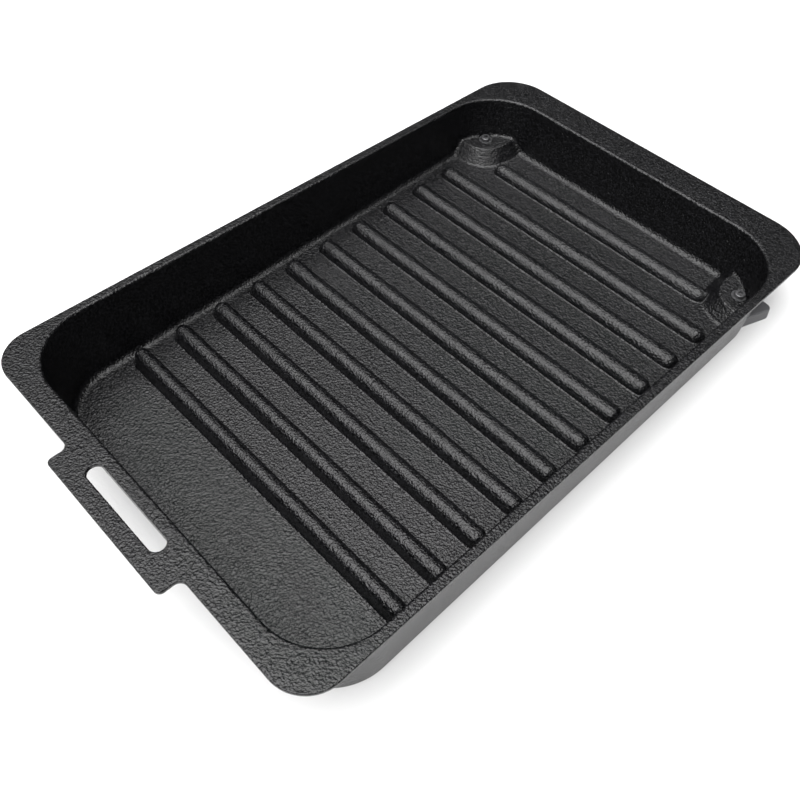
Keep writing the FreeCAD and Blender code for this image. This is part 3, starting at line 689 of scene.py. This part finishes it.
def aim(piece, back, up_hint=Vector((0, 0, 1)), roll=0.0):
    """Turn an object so that it looks against the back vector."""
    right = up_hint.cross(back).normalized()
    up = back.cross(right)
    turned_right = right * math.cos(roll) + up * math.sin(roll)
    turned_up = up * math.cos(roll) - right * math.sin(roll)
    piece.rotation_euler = Matrix((turned_right, turned_up, back)).transposed().to_euler()


def make_camera():
    data = bpy.data.cameras.new("camera")
    data.lens = CAMERA_LENS
    data.sensor_width = 36
    data.clip_start = 0.01
    camera = bpy.data.objects.new("camera", data)
    bpy.context.collection.objects.link(camera)
    a, e = CAMERA_AZIMUTH, CAMERA_ELEVATION
    back = Vector((math.sin(a) * math.cos(e), -math.cos(a) * math.cos(e), math.sin(e)))
    camera.location = CAMERA_TARGET + back * CAMERA_DISTANCE
    aim(camera, back, roll=CAMERA_ROLL)
    bpy.context.scene.camera = camera


def area_light(name, place, target, size, power):
    data = bpy.data.lights.new(name, "AREA")
    data.shape = "RECTANGLE"
    data.size, data.size_y = size
    data.energy = power
    light = bpy.data.objects.new(name, data)
    bpy.context.collection.objects.link(light)
    light.location = place
    aim(light, (Vector(place) - Vector(target)).normalized())


def make_studio():
    world = bpy.data.worlds.new("studio")
    bpy.context.scene.world = world
    world.use_nodes = True
    nodes, links = world.node_tree.nodes, world.node_tree.links
    background = nodes["Background"]
    direction = nodes.new("ShaderNodeTexCoord")
    towards = nodes.new("ShaderNodeVectorMath")
    towards.operation = "DOT_PRODUCT"
    towards.inputs[1].default_value = Vector(SKY_DIRECTION).normalized()
    ramp = nodes.new("ShaderNodeValToRGB")
    links.new(direction.outputs["Generated"], towards.inputs[0])
    links.new(towards.outputs["Value"], ramp.inputs["Fac"])
    links.new(ramp.outputs["Color"], background.inputs["Color"])
    stops = ramp.color_ramp.elements
    for _ in SKY[2:]:
        stops.new(0.5)
    for stop, (place, value) in zip(stops, SKY):
        stop.position = place
        stop.color = (value, value, value, 1)
    background.inputs["Strength"].default_value = SKY_STRENGTH

    bpy.ops.mesh.primitive_plane_add(size=FLOOR_SIZE, location=(0, 0, 0))
    floor = bpy.context.object
    floor.name = "floor"
    look = Look("floor")
    tone = look.texture("ShaderNodeTexNoise", 3, "Fac", Detail=2.0)
    paint(floor, look.shade(Base_Color=look.colours(tone, (0.69, 0.69, 0.69), (0.71, 0.71, 0.71)),
                            Roughness=0.9))
    area_light("key", KEY_PLACE, KEY_TARGET, KEY_SIZE, KEY_POWER)
    bpy.context.scene.view_settings.view_transform = "Standard"


# ---------------------------------------------------------------- assembly

def main():
    make_camera()
    make_studio()
    coatings = {"cast_coating": cast_coating(), "foot_coating": foot_coating(),
                "blackened_screw": blackened_screw(), "plated_steel": plated_steel(),
                "washer_polymer": washer_polymer()}

    tray = make_tray()
    paint(tray, coatings["cast_coating"])
    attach(tray, "tray")
    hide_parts("tray")

    for name, side in (("left", -1), ("right", 1)):
        foot = make_foot(side)
        paint(foot, coatings["foot_coating"])
        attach(foot, f"{name}_foot")
        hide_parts(f"{name}_swivel_foot")
        for part in ("pivot_screw", "head_washer"):
            paint(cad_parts[f"{name}_{part}"], coatings["blackened_screw"])
        paint(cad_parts[f"{name}_friction_washer"], coatings["washer_polymer"])
        for part in ("nut_washer", "lock_nut"):
            paint(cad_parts[f"{name}_{part}"], coatings["plated_steel"])


main()
